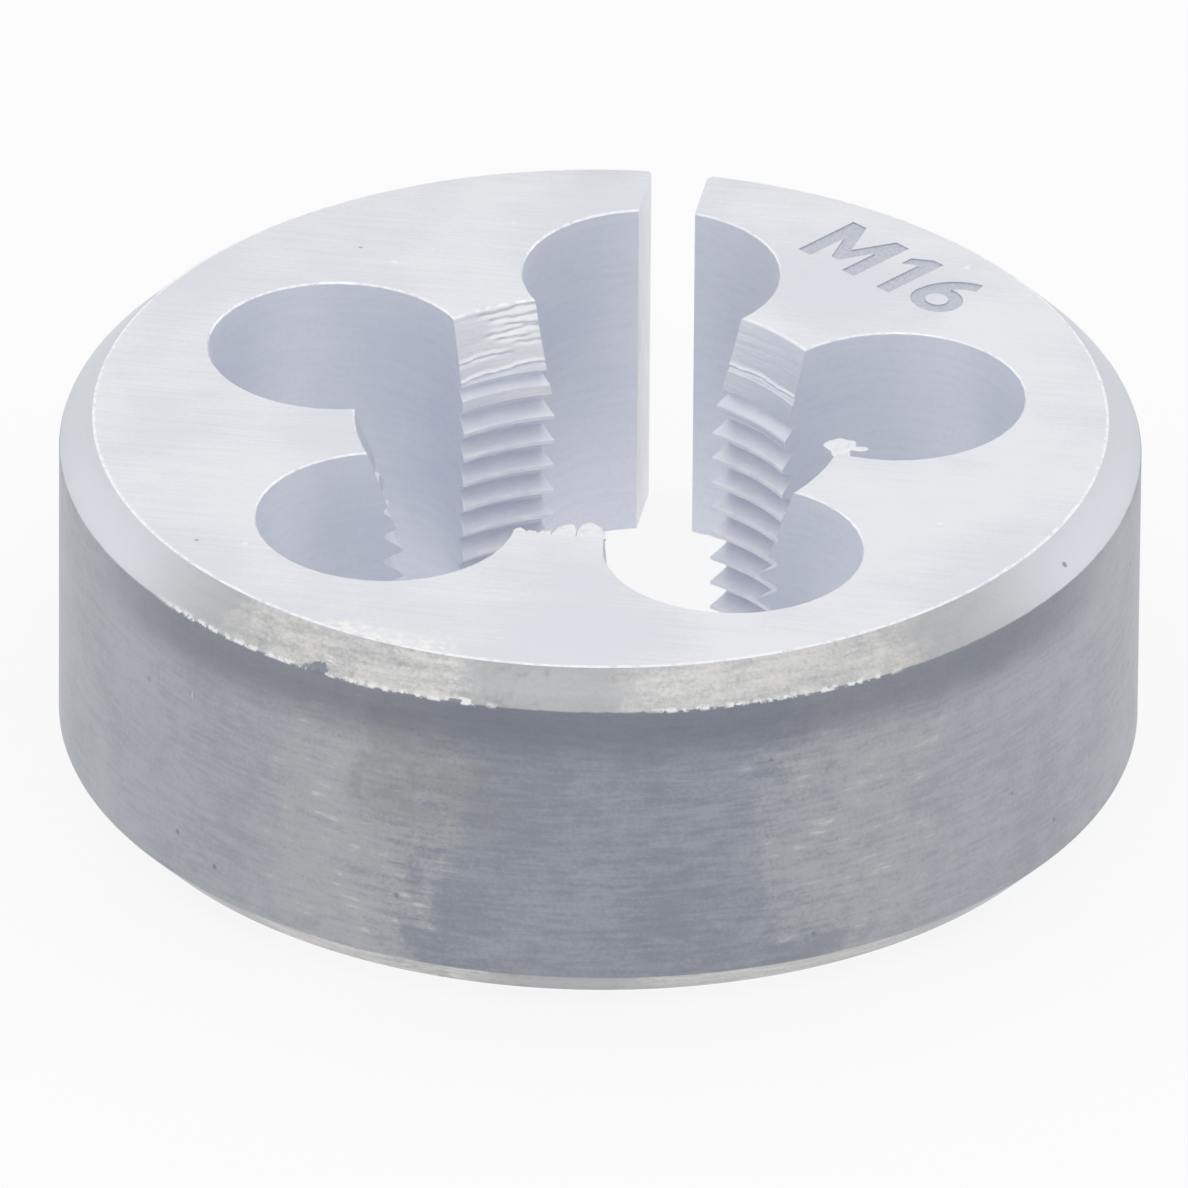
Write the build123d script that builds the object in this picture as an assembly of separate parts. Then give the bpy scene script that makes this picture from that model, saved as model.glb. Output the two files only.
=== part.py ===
"""Round threading die, split and adjustable: one hardened steel disc.

The disc lies on its back face. The origin is the centre of that face, +Z is the axis
of the bore, and the split points along +Y. Everything is in millimetres.
"""
from build123d import *
import math
import os

# ---- blank ----
outer_diameter = 38.0
thickness = 13.0
rim_chamfer = 1.2            # 45 degrees, on both faces

# ---- bore and lead cones ----
bore_diameter = 14.9         # over the crests of the cutting teeth
front_mouth_diameter = 17.3  # widest part of the lead cone on the marked face
front_lead_angle = 18.0      # half angle of that cone, in degrees
back_mouth_diameter = 16.7   # the short lead on the back face
back_lead_angle = 35.0       # half angle of that cone, in degrees

# ---- chip holes ----
chip_hole_count = 5
chip_hole_diameter = 9.1
chip_hole_circle = 20.95     # diameter of the circle that the holes lie on
first_hole_angle = 90.0      # this hole is the one that the split runs into

# ---- split ----
split_width = 2.0
split_shift = -0.2           # the cutter ran this far to the side of the hole's centre
notch_angle = 60.0           # full angle of the vee that takes the spreading screw
notch_depth = 1.5            # how far the vee reaches in from the rim

# ---- seats for the closing screws ----
seat_diameter = 3.2
seat_angle = 90.0            # full angle of each conical seat
seat_spread = 60.0           # angle from the split to each seat, about the axis
seat_height = thickness / 2

# ---- values that follow ----
outer_radius = outer_diameter / 2
bore_radius = bore_diameter / 2
overrun = 1.0                # how far a cutter runs past the face that it leaves


def half_slope(full_angle):
    """Sideways travel for each millimetre of depth, in a vee of this full angle."""
    return math.tan(math.radians(full_angle / 2))


def make_blank():
    """The turned disc, with both rim edges broken at 45 degrees."""
    disc = Cylinder(outer_radius, thickness, align=(Align.CENTER, Align.CENTER, Align.MIN))
    rims = disc.edges().filter_by(GeomType.CIRCLE)
    return chamfer(rims, rim_chamfer)


def lead_depth(mouth_diameter, half_angle):
    """How deep a lead cone reaches before it is down to the bore."""
    return (mouth_diameter / 2 - bore_radius) / math.tan(math.radians(half_angle))


def make_bore():
    """The cutter for the bore: a straight middle that opens as a cone at each face."""
    back_depth = lead_depth(back_mouth_diameter, back_lead_angle)
    front_depth = lead_depth(front_mouth_diameter, front_lead_angle)
    back_mouth = back_mouth_diameter / 2
    front_mouth = front_mouth_diameter / 2
    profile = Polyline(
        (0, -overrun),
        (back_mouth, -overrun),
        (back_mouth, 0),
        (bore_radius, back_depth),
        (bore_radius, thickness - front_depth),
        (front_mouth, thickness),
        (front_mouth, thickness + overrun),
        (0, thickness + overrun),
        close=True,
    )
    return revolve(Plane.XZ * make_face(profile), Axis.Z)


def make_chip_holes():
    """The ring of holes that break into the bore and leave the lands between them."""
    places = PolarLocations(chip_hole_circle / 2, chip_hole_count, start_angle=first_hole_angle)
    length = thickness + 2 * overrun
    drill = Cylinder(chip_hole_diameter / 2, length)
    middle = Pos(0, 0, thickness / 2)
    return [middle * place * drill for place in places]


def make_split():
    """The saw cut from the first chip hole to the rim, with the vee at its mouth."""
    half_width = split_width / 2
    throat = outer_radius - notch_depth
    end = outer_radius + overrun
    flare = half_width + (end - throat) * half_slope(notch_angle)
    outline = Polyline(
        (-half_width, chip_hole_circle / 2),
        (half_width, chip_hole_circle / 2),
        (half_width, throat),
        (flare, end),
        (-flare, end),
        (-half_width, throat),
        close=True,
    )
    flat = Plane.XY.offset(-overrun) * Pos(split_shift, 0) * make_face(outline)
    return extrude(flat, thickness + 2 * overrun, dir=(0, 0, 1))


def make_seats():
    """The two conical seats in the rim, one on each side of the split."""
    end = outer_radius + overrun
    tip = outer_radius - seat_diameter / 2 / half_slope(seat_angle)
    mouth = (end - tip) * half_slope(seat_angle)
    seats = []
    for side in (-1, 1):
        angle = first_hole_angle + side * seat_spread
        turn = Rot(0, 0, angle)
        lean = Rot(0, 90, 0)
        cone = Cone(0, mouth, end - tip, align=(Align.CENTER, Align.CENTER, Align.MIN))
        seats.append(Pos(0, 0, seat_height) * turn * Pos(tip, 0, 0) * lean * cone)
    return seats


def make_die():
    """The finished die, as one solid."""
    die = make_blank() - make_bore()
    for cutter in make_chip_holes():
        die -= cutter
    die -= make_split()
    for cutter in make_seats():
        die -= cutter
    return die


threading_die = make_die()
os.makedirs("parts", exist_ok=True)
export_step(threading_die, "parts/threading_die.step")
print("threading_die", len(threading_die.solids()), "solid", round(threading_die.volume), "mm3")
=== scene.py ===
# %% [markdown]
# # A round threading die in hardened steel
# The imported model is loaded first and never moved. It gives the die's outer size, and
# everything that is drawn below is worked out from that size and a few named values.

# %% Load the frame
import bmesh
import bpy
import math
import numpy as np
from functools import reduce
from mathutils import Matrix, Vector


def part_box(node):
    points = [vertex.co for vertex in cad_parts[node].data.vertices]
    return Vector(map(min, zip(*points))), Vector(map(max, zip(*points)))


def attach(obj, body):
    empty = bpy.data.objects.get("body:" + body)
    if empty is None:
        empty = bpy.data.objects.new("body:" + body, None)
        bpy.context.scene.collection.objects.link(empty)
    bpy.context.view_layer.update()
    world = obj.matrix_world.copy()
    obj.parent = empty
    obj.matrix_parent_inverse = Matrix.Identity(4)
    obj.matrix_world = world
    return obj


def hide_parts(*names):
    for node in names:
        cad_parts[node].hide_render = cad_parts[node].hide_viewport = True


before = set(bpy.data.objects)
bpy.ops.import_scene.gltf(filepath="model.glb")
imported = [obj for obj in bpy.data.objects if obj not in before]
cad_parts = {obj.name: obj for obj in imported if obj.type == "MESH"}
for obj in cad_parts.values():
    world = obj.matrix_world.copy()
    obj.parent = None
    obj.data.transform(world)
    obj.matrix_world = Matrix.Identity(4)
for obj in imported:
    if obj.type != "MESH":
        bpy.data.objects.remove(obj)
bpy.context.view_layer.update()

MM = 0.001
low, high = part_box("threading_die")
THICKNESS = high.z - low.z
RADIUS = (high.x - low.x) / 2
print("blank", round(2 * RADIUS / MM, 2), "x", round(THICKNESS / MM, 2), "mm")

# %% [markdown]
# ## Sizes
# A die starts as a plain disc. Five chip holes are drilled in a ring, the bore is tapped
# between them, and a lead cone is cut at each end of the bore. What is left between two
# holes is a land, and only the lands carry thread. Last, a thin wheel cuts the slit, so
# that the die can be sprung open or closed a little.

# %% Sizes of the die
RIM_CHAMFER = 1.2 * MM
CREST_RADIUS = 7.45 * MM
ROOT_RADIUS = 8.06 * MM
PITCH = 1.0 * MM
FRONT_MOUTH = 8.65 * MM
FRONT_SLOPE = math.tan(math.radians(18))
BACK_MOUTH = 8.35 * MM
BACK_SLOPE = math.tan(math.radians(35))
HOLES = 5
STEP = 2 * math.pi / HOLES
HOLE_RADIUS = 4.55 * MM
HOLE_CIRCLE = 10.475 * MM
SLIT_ANGLE = math.radians(90)
SLIT_WIDTH = 2.0 * MM
SLIT_SHIFT = -0.2 * MM
NOTCH_THROAT = RADIUS - 1.5 * MM
NOTCH_SLOPE = math.tan(math.radians(30))
SEAT_RADIUS = 1.6 * MM
SEAT_SPREAD = math.radians(60)
EDGE_BREAK = 0.055 * MM

# %% [markdown]
# ## The wall inside the die
# Seen from above, the wall that faces the bore is one line: from the slit it runs round
# half of a chip hole, along a land, round the next hole, and so on back to the slit.
# Booleans could cut it, but they leave slivers where a fine thread runs out into a hole. So
# the line is carried up the die as a grid of columns and rows. Each row is one turn of a
# shallow helix of the thread's pitch, so crests and roots lie along rows.

# %% Thread profile
CREST_FLAT = 0.14
ROOT_FLAT = 0.14
THREAD_START = 0.25 * PITCH


def thread_radius(phase):
    """Radius of the tapped wall, for a height along the helix. One pitch is a flat crest, a
    straight flank out to a flat root, and the same flank back."""
    part = np.abs((phase / PITCH) % 1.0 - 0.5) * 2
    rise = np.clip((part - CREST_FLAT) / (1 - CREST_FLAT - ROOT_FLAT), 0, 1)
    return CREST_RADIUS + (ROOT_RADIUS - CREST_RADIUS) * rise


def lead_radius(z):
    """Radius of the wider lead cone at height z: mouth less slope times depth."""
    front = FRONT_MOUTH - FRONT_SLOPE * (THICKNESS - z)
    back = BACK_MOUTH - BACK_SLOPE * z
    return np.maximum(front, back)


def edge_flare(z):
    """How far a wall leans back where its edge meets a face: 45 degrees over EDGE_BREAK."""
    return np.clip(np.maximum(EDGE_BREAK - z, z - THICKNESS + EDGE_BREAK), 0, None)


# %% [markdown]
# Hardened steel tears when a blunt lead cutter drags over it. The land left of the slit
# kept two long cracks with a fan of short wrinkles above, and the land right of it one
# crack. Each is a groove with a raised lip. They could be sculpted, but a formula stays
# sharp on any grid.

# %% Tears on two lands
LEFT_LAND = 0.5 * STEP - math.pi
RIGHT_LAND = 4.5 * STEP - math.pi
TEARS = [
    # land; depth below the face, groove depth and half width in mm; slope in mm to a
    # radian; start and stop in radians from the land's middle
    (LEFT_LAND, 0.25, 0.030, 0.065, 0.25, -0.26, 0.10),
    (LEFT_LAND, 0.52, 0.045, 0.070, 0.05, -0.26, 0.04),
    (LEFT_LAND, 0.76, 0.030, 0.060, -0.15, -0.26, -0.05),
    (LEFT_LAND, 0.98, 0.050, 0.070, 0.20, -0.26, 0.06),
    (LEFT_LAND, 1.22, 0.035, 0.065, 0.05, -0.18, 0.02),
    (LEFT_LAND, 1.42, 0.030, 0.060, 0.10, -0.26, -0.08),
    (LEFT_LAND, 1.68, 0.075, 0.060, 0.05, -0.07, 0.26),
    (LEFT_LAND, 2.28, 0.080, 0.060, 0.35, -0.26, 0.26),
    (RIGHT_LAND, 1.80, 0.075, 0.060, -0.16, -0.30, 0.30),
]
WAVES = [(0.030, 23, 9), (0.012, 71, 5)]  # size, waves along the tear, shift with its depth
TEAR_END = 0.05
LIP_HEIGHT = 0.5
LIP_OFFSET = 1.6


def bell(away):
    """1 at zero and less on both sides of it: e to the minus away squared."""
    return np.exp(-(away**2))


def tears(z, turn):
    """Extra radius from the tears: bell-shaped grooves, each with a lip LIP_HEIGHT as high
    just above it, about lines that slope and wander in two waves."""
    depth = (THICKNESS - z) / MM
    total = np.zeros_like(depth)
    for land, deep, cut, half, slope, start, stop in TEARS:
        along = turn - land
        wander = sum(size * math.sin(rate * along + lag * deep) for size, rate, lag in WAVES)
        ends = np.clip((along - start) / TEAR_END, 0, 1) * np.clip((stop - along) / TEAR_END, 0, 1)
        away = (depth - deep - slope * along - wander) / half
        total += cut * ends * (bell(away) - LIP_HEIGHT * bell(away + LIP_OFFSET))
    return total * MM


# %% [markdown]
# Sixteen rows to a pitch draw crest, flank and root, and near the marked face there are
# twice as many for the tears. The helix levels out at both faces, so that the first and
# the last row lie flat in them.

# %% Rows of the wall
ROWS_PER_PITCH = 16
FINE_DEPTH = 2.6 * MM
BACK_FADE = 0.9 * MM
FRONT_FADE = 1.2 * MM


def wall_rows():
    """Heights of the rows: even steps, halved in the FINE_DEPTH under the marked face, and
    one row at each edge break."""
    step = PITCH / ROWS_PER_PITCH
    fine = THICKNESS - FINE_DEPTH
    even = np.append(np.arange(0, fine, step), np.arange(fine, THICKNESS, step / 2))
    inside = even[(even > EDGE_BREAK) & (even < THICKNESS - EDGE_BREAK)]
    return np.concatenate([[0, EDGE_BREAK], inside, [THICKNESS - EDGE_BREAK, THICKNESS]])


def turn_at(angle):
    """Turn along the helix at an angle about the axis. It is 0 opposite the slit."""
    return angle - SLIT_ANGLE - math.pi


def helix_height(rows, turn):
    """Row height after a turn in radians: the helix climbs one PITCH each full turn, and
    that climb fades to nothing at the two faces."""
    fade = np.clip(np.minimum(rows / BACK_FADE, (THICKNESS - rows) / FRONT_FADE), 0, 1)
    return rows + PITCH * turn / (2 * math.pi) * fade


def wall_radius(rows, turn):
    """(radius, height) of the tapped wall on every row, at one turn round the die."""
    z = helix_height(rows, turn)
    tapped = thread_radius(z - PITCH * turn / (2 * math.pi) + THREAD_START)
    wall = np.maximum(tapped, lead_radius(z)) + tears(z, turn)
    return wall + edge_flare(z), z


# %% [markdown]
# The thread moves the corner between a land and a hole in and out with height. So each
# column is an array over all rows: a land's columns share out the arc between its corners,
# and a few columns of a hole blend from the corner to the even ones.

# %% Corners between lands and holes
def polar(radius, angle, z, x=0.0, y=0.0):
    """Points at a distance and an angle about an upright line through x, y, and a height."""
    return np.stack([x + radius * np.cos(angle), y + radius * np.sin(angle), z], axis=-1)


def corner_angles(radius, z):
    """Where a circle about the axis meets a chip hole at height z, by the law of cosines:
    the angle about the hole's centre, and the angle about the die's axis."""
    reach = HOLE_RADIUS + edge_flare(z)
    about_hole = (radius**2 - HOLE_CIRCLE**2 - reach**2) / (2 * HOLE_CIRCLE * reach)
    about_axis = (radius**2 + HOLE_CIRCLE**2 - reach**2) / (2 * HOLE_CIRCLE * radius)
    return np.arccos(about_hole), np.arccos(about_axis)


CORNER_ANGLE = corner_angles(CREST_RADIUS, THICKNESS / 2)[1]
print("land corners", round(math.degrees(CORNER_ANGLE), 1), "degrees from a hole's middle")

# %% [markdown]
# The first and the last hole are one hole, cut in two by the slit, so each of them ends on
# one side at the slit's wall.

# %% Columns round a hole
HOLE_COLUMNS = 26
CORNER_COLUMNS = 3
HOLE_HALF = math.radians(118)
SLIT_ROOM = 0.03


def hole_points(centre, local, z):
    """Points on a chip hole's wall: its centre plus its radius in the local direction."""
    x, y = HOLE_CIRCLE * math.cos(centre), HOLE_CIRCLE * math.sin(centre)
    return polar(HOLE_RADIUS + edge_flare(z), centre + local, z, x, y)


def corner_columns(rows, centre, side):
    """Columns of a hole that blend between a land's corner and the even ones. side is -1
    where the hole begins and 1 where it ends."""
    radius, z = wall_radius(rows, turn_at(centre + side * CORNER_ANGLE))
    corner, even = side * corner_angles(radius, z)[0], side * HOLE_HALF
    first, last = (corner, even) if side < 0 else (even, corner)
    parts = np.arange(1, CORNER_COLUMNS) / CORNER_COLUMNS
    return [hole_points(centre, first + (last - first) * part, z) for part in parts]


def hole_columns(rows, centre, at_slit):
    """Columns round one hole. at_slit says of its two ends whether each is at the slit, and
    not at a land."""
    even = np.linspace(-HOLE_HALF, HOLE_HALF, HOLE_COLUMNS + 1)
    ends = []
    for side, slit in zip((-1, 1), at_slit):
        if slit:
            z = helix_height(rows, turn_at(centre))
            half = SLIT_WIDTH / 2 + side * SLIT_SHIFT
            edge = -side * np.arcsin(half / (HOLE_RADIUS + edge_flare(z)))
            even = even[side * even < (side * edge).min() - SLIT_ROOM]
            ends.append([hole_points(centre, edge, z)])
        else:
            ends.append(corner_columns(rows, centre, side))
    start, stop = turn_at(centre - CORNER_ANGLE), turn_at(centre + CORNER_ANGLE)
    turns = start + (stop - start) * (even + HOLE_HALF) / (2 * HOLE_HALF)
    heights = [helix_height(rows, turn) for turn in turns]
    return ends[0] + [hole_points(centre, *pair) for pair in zip(even, heights)] + ends[1]


# %% Columns along a land, and the whole grid
LAND_COLUMNS = 28


def land_columns(rows, before, after):
    """Columns along the land between two holes, from corner to corner."""
    turns = turn_at(before + CORNER_ANGLE), turn_at(after - CORNER_ANGLE)
    start = before + corner_angles(*wall_radius(rows, turns[0]))[1]
    stop = after - corner_angles(*wall_radius(rows, turns[1]))[1]
    columns = []
    for part in np.arange(LAND_COLUMNS + 1) / LAND_COLUMNS:
        radius, z = wall_radius(rows, turns[0] + (turns[1] - turns[0]) * part)
        columns.append(polar(radius, start + (stop - start) * part, z))
    return columns


def inner_wall():
    """The wall grid, rows first, and for each column True where it lies on a land."""
    rows = wall_rows()
    columns, on_land = [], []
    for number in range(HOLES + 1):
        centre = SLIT_ANGLE + number * STEP
        hole = hole_columns(rows, centre, (number == 0, number == HOLES))
        land = land_columns(rows, centre, centre + STEP) if number < HOLES else []
        columns += hole + land
        on_land += [False] * len(hole) + [True] * len(land)
    return np.stack(columns, axis=1), np.array(on_land)


wall_grid, wall_on_land = inner_wall()
print("inner wall", wall_grid.shape[0], "rows by", wall_grid.shape[1], "columns")

# %% [markdown]
# ## The rim
# The rim is a turned profile carried round from one side of the slit to the other, with
# corners broken by a hair so that they catch the light. A Screw modifier could spin it, but
# on a grid each column of the front chamfer's corner can be knocked by its own amount.

# %% Rim profile
SEAT_WINDOW = 2.4 * MM
SEAT_CELLS = 8
CHAMFER_POINT = 0.4 * RIM_CHAMFER
CORNER_ROOM = 0.6 * MM
# Rows of the profile: the first of the seats' window, and then, counted back from the marked
# face, the rim's top, the chamfer's foot and the face's border.
SEAT_ROW = 6
RIM_TOP, CHAMFER_FOOT, FACE_BORDER = -5, -4, -1


def rim_profile():
    """Points up the rim as (radius, height). Each corner of the chamfered outline is cut by
    EDGE_BREAK, and the seat window's rows lie between."""
    cut, slant = EDGE_BREAK, EDGE_BREAK * math.sqrt(0.5)
    lower = [
        (RADIUS - RIM_CHAMFER - cut, 0.0),
        (RADIUS - RIM_CHAMFER + slant, slant),
        (RADIUS - CHAMFER_POINT, RIM_CHAMFER - CHAMFER_POINT),
        (RADIUS - slant, RIM_CHAMFER - slant),
        (RADIUS, RIM_CHAMFER + cut),
        (RADIUS, RIM_CHAMFER + CORNER_ROOM),
    ]
    middle = THICKNESS / 2
    window = np.linspace(middle - SEAT_WINDOW, middle + SEAT_WINDOW, SEAT_CELLS + 1)
    upper = [(radius, THICKNESS - z) for radius, z in reversed(lower)]
    return np.array(lower + [(RADIUS, z) for z in window] + upper)


def notch_angle(radius, side):
    """Angle of the vee's wall on a circle of this radius. side is 1 where the rim starts and
    -1 where it ends. The wall is the line x = a + b y, and y solves (a + b y)^2 + y^2 = r^2."""
    slope = -side * NOTCH_SLOPE
    a = SLIT_SHIFT - side * SLIT_WIDTH / 2 - slope * NOTCH_THROAT
    root = np.sqrt((a * slope) ** 2 - (1 + slope**2) * (a**2 - radius**2))
    y = (root - a * slope) / (1 + slope**2)
    return np.arctan2(y, a + slope * y)


# %% [markdown]
# Knocks have chipped the corner between the front chamfer and the rim, most of all in
# front. They are random heights from a seed, so every run makes the same ones. A displaced
# surface would need far more faces to show them as sharp.

# %% Knocked corners
RAGGED_COUNT = 4096
# Ragged heights: degrees between two of them, seed, power, and the highest in millimetres.
KNOCKS = [(1.1, 3, 2, 0.09), (0.5, 4, 3, 0.10)]
FACE_NICKS = (0.9, 5, 3, 0.05)
KNOCK_LEAN = 0.7
WORN_FRONT, WORN_WIDTH, WORN_BASE = math.radians(280), math.radians(42), 0.35
# Knocked chips: angle and half width in degrees, depth in millimetres.
CHIPS = [(248.5, 1.0, 0.40), (264.4, 0.7, 0.22), (252.0, 0.4, 0.12), (301.0, 0.5, 0.12)]


def ragged(turn, degrees, seed, power, size):
    """Seeded random heights up to size, one every so many degrees, joined by straight lines.
    A higher power leaves fewer of them tall."""
    heights = np.random.default_rng(seed).random(RAGGED_COUNT)
    steps = turn / math.radians(degrees)
    return np.interp(steps, np.arange(RAGGED_COUNT), heights) ** power * size


def rim_grid_points(profile, turn):
    """The rim's grid, with its corners knocked: where the front chamfer meets the rim, the
    two corner rows move apart by a ragged amount, which leaves small facets."""
    radius = np.broadcast_to(profile[:, :1], turn.shape).copy()
    z = np.broadcast_to(profile[:, 1:], turn.shape).copy()
    way = turn[FACE_BORDER]
    worn = WORN_BASE + bell((way - WORN_FRONT) / WORN_WIDTH)
    knock = sum(ragged(way, *row) for row in KNOCKS) * worn * MM
    for angle, width, depth in CHIPS:
        knock += depth * MM * bell((way - math.radians(angle)) / math.radians(width))
    radius[CHAMFER_FOOT] -= knock * KNOCK_LEAN
    z[CHAMFER_FOOT] += knock * KNOCK_LEAN
    z[RIM_TOP] -= knock
    radius[FACE_BORDER] -= ragged(way, *FACE_NICKS) * MM
    return polar(radius, turn, z)


# %% The rim as one grid
RIM_COLUMN = math.radians(0.5)


def rim_wall():
    """The rim as one grid, rows first, with the first column of each seat window."""
    profile = rim_profile()
    start = notch_angle(profile[:, 0], 1)
    stop = notch_angle(profile[:, 0], -1) + 2 * math.pi
    half = SEAT_WINDOW / RADIUS
    seats = [SLIT_ANGLE + SEAT_SPREAD, SLIT_ANGLE + 2 * math.pi - SEAT_SPREAD]
    edges = [start.max(), *(seat + side * half for seat in seats for side in (-1, 1)), stop.min()]
    angles, windows = [], []
    for span, (a, b) in enumerate(zip(edges[:-1], edges[1:])):
        cells = math.ceil((b - a) / RIM_COLUMN)
        if span % 2:
            cells = SEAT_CELLS
            windows.append(len(angles))
        angles += list(np.linspace(a, b, cells + 1)[:-1])
    inner = np.broadcast_to(angles[1:], (len(profile), len(angles) - 1))
    turn = np.concatenate([start[:, None], inner, stop[:, None]], axis=1)
    return rim_grid_points(profile, turn), windows, seats


rim_grid, seat_columns, seat_angles = rim_wall()
print("rim", rim_grid.shape[0], "rows by", rim_grid.shape[1], "columns")

# %% [markdown]
# A vee beside the slit guides the spreading screw, and on each side a conical seat takes a
# closing screw. A boolean seat would leave ragged n-gons. Here it is a round pit in a square
# window of the grid, with rings that blend from the square to the circle.

# %% The screw seats
SEAT_RINGS = 4
CONE_RINGS = 5


def seat_patch(column, angle):
    """Rings from the window's border in to the tip of the seat. In the seat's own axes a
    point is out * (R - SEAT_RADIUS + d) + side * d cos(g) + up * d sin(g), a 45 degree cone,
    and its mouth is where that meets the rim's circle."""
    rows = slice(SEAT_ROW, SEAT_ROW + SEAT_CELLS + 1)
    cells = rim_grid[rows, column : column + SEAT_CELLS + 1]
    border = np.concatenate([cells[0, :-1], cells[:-1, -1], cells[-1, :0:-1], cells[:0:-1, 0]])
    out = np.array([math.cos(angle), math.sin(angle), 0.0])
    side = np.array([-math.sin(angle), math.cos(angle), 0.0])
    square = np.stack([border @ side, border[:, 2] - THICKNESS / 2], axis=-1)
    turn = np.arctan2(square[:, 1], square[:, 0])
    tip = RADIUS - SEAT_RADIUS
    bend = 1 + np.cos(turn) ** 2
    mouth = (np.sqrt(tip**2 - bend * (tip**2 - RADIUS**2)) - tip) / bend
    circle = np.stack([mouth * np.cos(turn), mouth * np.sin(turn)], axis=-1)
    flats = [square * (1 - part) + circle * part for part in np.linspace(0, 1, SEAT_RINGS + 1)]
    depths = [np.sqrt(RADIUS**2 - flat[:, 0] ** 2) for flat in flats]
    for part in np.linspace(1, 0, CONE_RINGS + 1)[1:]:
        flats.append(circle * part)
        depths.append(tip + mouth * part)
    rings = []
    for flat, depth in zip(flats, depths):
        upward = [0, 0, 1] * (flat[:, 1:] + THICKNESS / 2)
        rings.append(out * depth[:, None] + side * flat[:, :1] + upward)
    return np.stack(rings)


seat_patches = [seat_patch(column, angle) for column, angle in zip(seat_columns, seat_angles)]
print("seats", len(seat_patches), "with", seat_patches[0].shape[0], "rings each")

# %% [markdown]
# ## The size mark
# A die carries its thread size on the face that meets the work first, etched a little way
# in with a matt floor. A text curve would do, but its heavy strokes cross, so the three
# signs are drawn as plain outlines, one unit high, and set in line along the face.

# %% Letters
STROKE = 0.19


def arc(centre, reach, start, stop, count=18):
    """Points on an ellipse, from start to stop degrees: centre plus reach times cosine and sine."""
    turn = np.radians(np.linspace(start, stop, count))
    return np.stack([centre[0] + reach[0] * np.cos(turn), centre[1] + reach[1] * np.sin(turn)], -1)


def letter_m():
    """Two legs and a vee: half of the outline, and its mirror image."""
    width = 0.86
    half = np.array([(0, 1), (0, 0), (STROKE, 0), (STROKE, 0.60), (0.375, 0.16)])
    other = half[::-1] * [-1, 1] + [width, 0]
    return width, [np.concatenate([half, other, [(0.66, 1), (0.43, 0.46), (0.20, 1)]])]


def figure_one():
    """A stem with a flag that slopes down to the left."""
    stem, width = 0.17, 0.17 + STROKE
    flag = [(width, 1), (0.21, 1), (0, 0.84), (0, 0.66), (stem, 0.77)]
    return width, [np.array([(stem, 0), (width, 0), *flag])]


def figure_six():
    """A round bowl, and a stem that is a quarter of a taller ellipse on the bowl's left."""
    width, bowl, eye = 0.62, 0.31, 0.135
    tall = 1 - bowl
    stem = arc((width, bowl), (width, tall), 180, 105)
    inner = arc((width, bowl), (width - STROKE, tall - STROKE), 105, 143)
    outer = arc((bowl, bowl), (bowl, bowl), 97, -178, 40)
    return width, [np.concatenate([stem, inner, outer]), arc((bowl, bowl), (eye, eye), 360, 15, 24)]


# %% The mark on the face
MARK_HEIGHT = 2.8 * MM
MARK_STRETCH = 1.14
MARK_GAP = 0.17
MARK_RADIUS = 14.9 * MM
MARK_ANGLE = math.radians(55.3)
MARK_DEPTH = 0.04 * MM


def mark_outlines():
    """Every outline of the mark, as points on the face, with the letters' tops to the rim."""
    letters = [letter_m(), figure_one(), figure_six()]
    length = sum(width for width, _ in letters) + MARK_GAP * (len(letters) - 1)
    outward = np.array([math.cos(MARK_ANGLE), math.sin(MARK_ANGLE)])
    along = np.array([outward[1], -outward[0]])
    start, placed = -length / 2, []
    for width, outlines in letters:
        for outline in outlines:
            across = (outline[:, :1] + start) * MARK_STRETCH * MARK_HEIGHT * along
            flat = across + ((outline[:, 1:] - 0.5) * MARK_HEIGHT + MARK_RADIUS) * outward
            placed.append(np.column_stack([flat, np.full(len(flat), THICKNESS)]))
        start += width + MARK_GAP
    return placed


mark = mark_outlines()
print("mark", len(mark), "outlines,", sum(len(outline) for outline in mark), "points")

# %% [markdown]
# ## One closed shell
# Flat faces join the two grids: the C-shaped top and bottom, and the walls of the slit. They
# use the grids' own border points, so the shell closes with no seam. Every face remembers
# which tool made it, because each tool leaves its own finish.

# %% Shell builder
GROUND, TURNED, DRILLED, TAPPED, LEAD, SLIT, EDGE, ETCHED = range(8)
WELD = 0.002 * MM


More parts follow.
